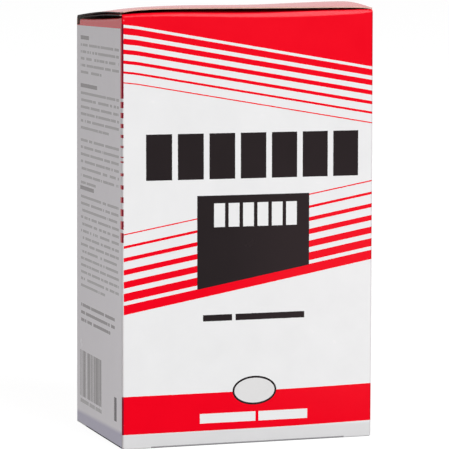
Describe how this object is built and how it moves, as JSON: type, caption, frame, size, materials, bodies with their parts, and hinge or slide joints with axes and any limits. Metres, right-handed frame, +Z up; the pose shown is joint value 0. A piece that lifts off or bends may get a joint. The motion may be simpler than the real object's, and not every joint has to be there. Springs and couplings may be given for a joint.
{
  "type": "carton of cement powder",
  "caption": "Upright paperboard carton of cement powder, glued shut with overlapping end flaps, the top flap bowed up, with a plain red and black stripe print.",
  "frame": {"origin": "centre of the base, on the floor that the carton stands on", "axes": "+Z up along the height, -Y out of the printed front, +X to the front's right"},
  "size_m": [0.0986, 0.0646, 0.1642],
  "materials": {
    "printed_board": "coated white board with a satin varnish, printed in red, black and grey",
    "cement": "fine matte grey powder"
  },
  "bodies": {
    "root": {"carton": "printed_board", "cement_powder": "cement"}
  },
  "joints": []
}
